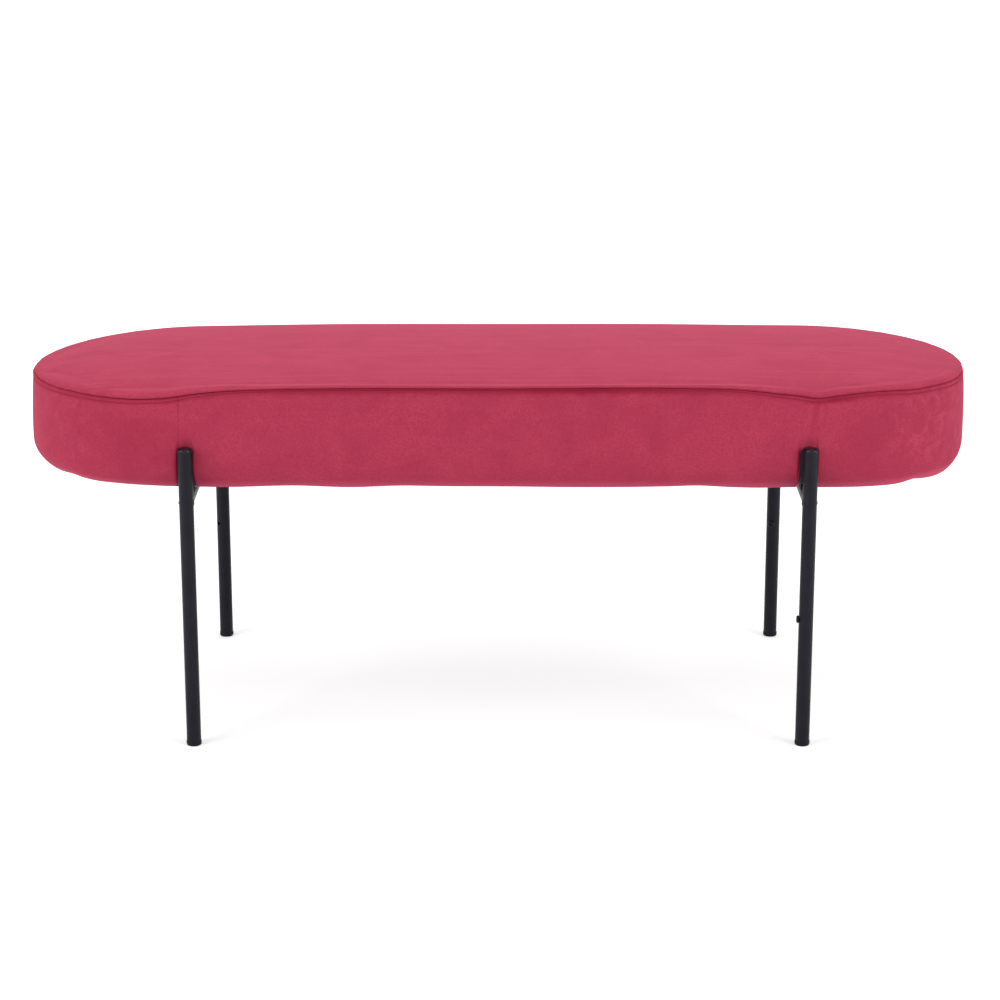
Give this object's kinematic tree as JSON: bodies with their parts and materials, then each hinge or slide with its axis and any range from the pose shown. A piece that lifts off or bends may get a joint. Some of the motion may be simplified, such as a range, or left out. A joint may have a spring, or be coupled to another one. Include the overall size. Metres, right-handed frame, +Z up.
{
  "type": "bench",
  "caption": "Upholstered velvet bench with a long round-ended seat held between straight tube legs that stand outside the seat.",
  "frame": {"origin": "on the floor, under the centre of the bench", "axes": "+X along the bench's length, -Y to the front, +Z up"},
  "size_m": [1.2, 0.4442, 0.463],
  "materials": {
    "velvet": "short cut-pile velvet, raspberry, soft sheen",
    "wadding": "white polyester fleece",
    "foam": "cream polyurethane foam",
    "plywood": "plain sanded plywood",
    "lining": "black non-woven lining",
    "black_steel": "satin black powder coat",
    "black_plastic": "matte black",
    "black_screws": "blackened steel, satin",
    "zinc_fasteners": "bright zinc plate"
  },
  "bodies": {
    "root": {"velvet_top_panel": "velvet", "velvet_front_band": "velvet", "velvet_rear_band": "velvet", "velvet_left_band": "velvet", "velvet_right_band": "velvet", "wadding_layer": "wadding", "foam_block": "foam", "base_board": "plywood", "dust_cover": "lining", "front_left_leg_tube": "black_steel", "front_left_tube_cap": "black_steel", "front_left_foot_glide": "black_plastic", "front_left_saddle_strap": "black_steel", "front_left_mounting_tab": "black_steel", "front_right_leg_tube": "black_steel", "front_right_tube_cap": "black_steel", "front_right_foot_glide": "black_plastic", "front_right_saddle_strap": "black_steel", "front_right_mounting_tab": "black_steel", "front_right_side_screw": "black_screws", "rear_left_leg_tube": "black_steel", "rear_left_tube_cap": "black_steel", "rear_left_foot_glide": "black_plastic", "rear_left_saddle_strap": "black_steel", "rear_left_mounting_tab": "black_steel", "rear_right_leg_tube": "black_steel", "rear_right_tube_cap": "black_steel", "rear_right_foot_glide": "black_plastic", "rear_right_saddle_strap": "black_steel", "rear_right_mounting_tab": "black_steel", "rear_right_side_screw": "black_screws", "left_cross_tube": "black_steel", "right_cross_tube": "black_steel", "front_left_outer_bolt": "zinc_fasteners", "front_left_outer_washer": "zinc_fasteners", "front_left_outer_tee_nut": "zinc_fasteners", "front_left_inner_bolt": "zinc_fasteners", "front_left_inner_washer": "zinc_fasteners", "front_left_inner_tee_nut": "zinc_fasteners", "rear_left_outer_bolt": "zinc_fasteners", "rear_left_outer_washer": "zinc_fasteners", "rear_left_outer_tee_nut": "zinc_fasteners", "rear_left_inner_bolt": "zinc_fasteners", "rear_left_inner_washer": "zinc_fasteners", "rear_left_inner_tee_nut": "zinc_fasteners", "front_right_outer_bolt": "zinc_fasteners", "front_right_outer_washer": "zinc_fasteners", "front_right_outer_tee_nut": "zinc_fasteners", "front_right_inner_bolt": "zinc_fasteners", "front_right_inner_washer": "zinc_fasteners", "front_right_inner_tee_nut": "zinc_fasteners", "rear_right_outer_bolt": "zinc_fasteners", "rear_right_outer_washer": "zinc_fasteners", "rear_right_outer_tee_nut": "zinc_fasteners", "rear_right_inner_bolt": "zinc_fasteners", "rear_right_inner_washer": "zinc_fasteners", "rear_right_inner_tee_nut": "zinc_fasteners"}
  },
  "joints": []
}
